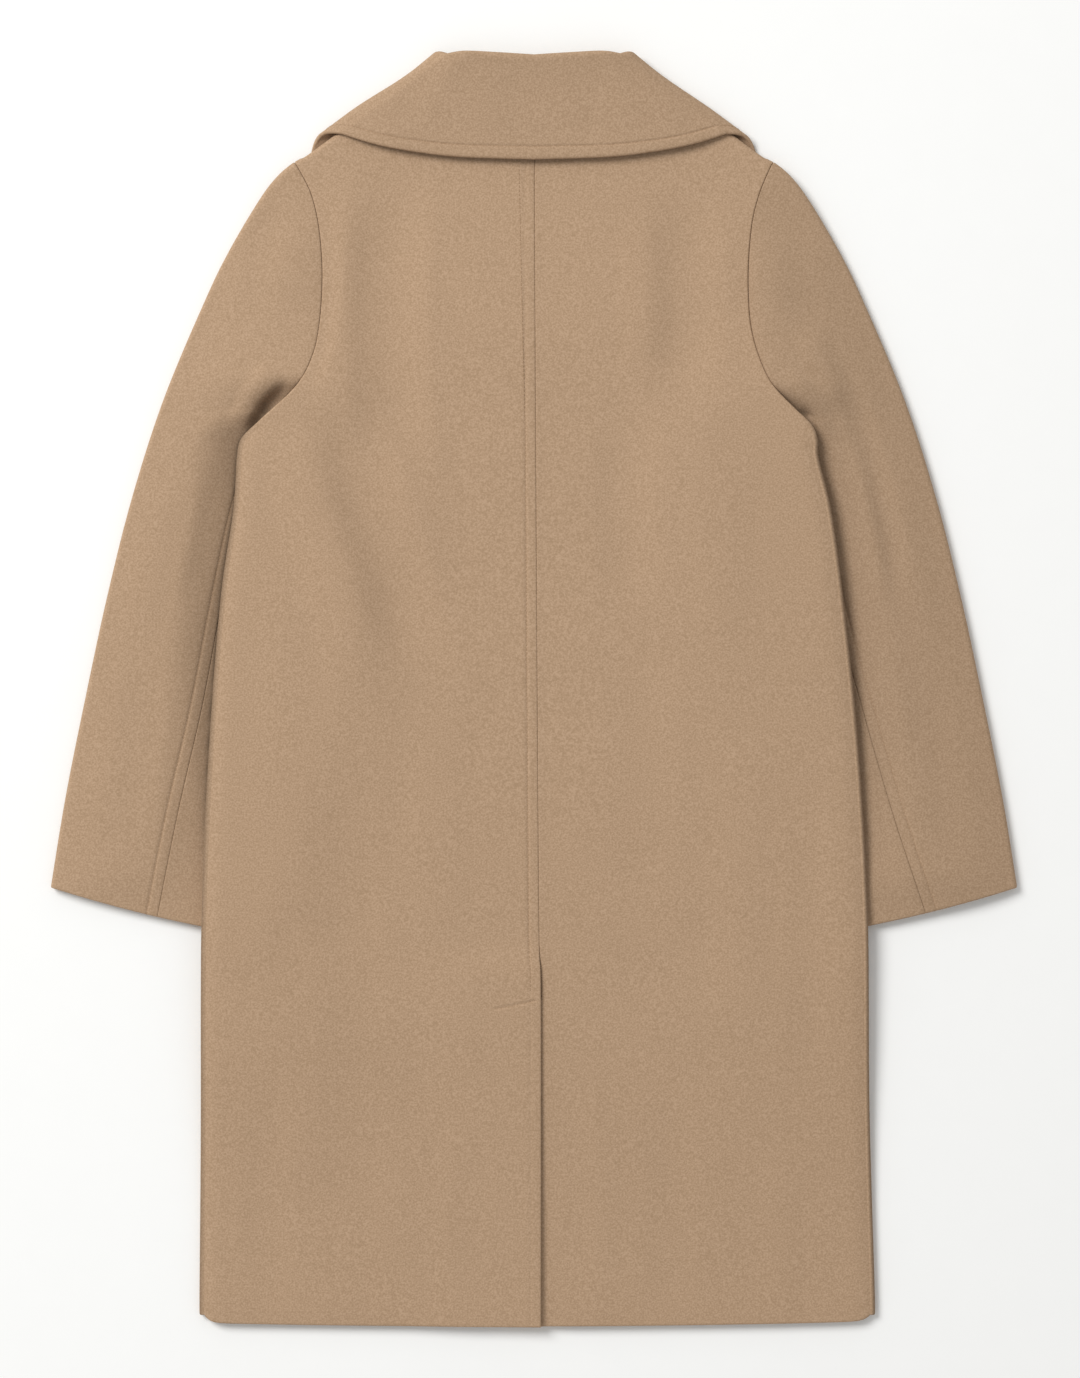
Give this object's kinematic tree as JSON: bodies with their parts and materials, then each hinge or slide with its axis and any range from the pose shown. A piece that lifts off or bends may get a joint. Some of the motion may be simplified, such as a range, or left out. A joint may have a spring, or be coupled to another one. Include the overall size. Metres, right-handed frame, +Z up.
{
  "type": "overcoat laid flat",
  "caption": "Long wool overcoat laid flat with its back up: wide turned-down collar, centre-back seam with a vent, and two-piece sleeves under the sides.",
  "frame": {"origin": "on the surface under the middle of the coat's outline", "axes": "+Z up from the surface, +Y from the hem towards the collar, +X towards the wearer's right"},
  "size_m": [0.8044, 1.0602, 0.0187],
  "materials": {
    "coating": "matte brushed wool coating, camel"
  },
  "bodies": {
    "root": {"back_left": "coating", "back_right": "coating", "front_left": "coating", "front_right": "coating", "sleeve_top_left": "coating", "sleeve_top_right": "coating", "sleeve_under_left": "coating", "sleeve_under_right": "coating", "collar": "coating"}
  },
  "joints": []
}
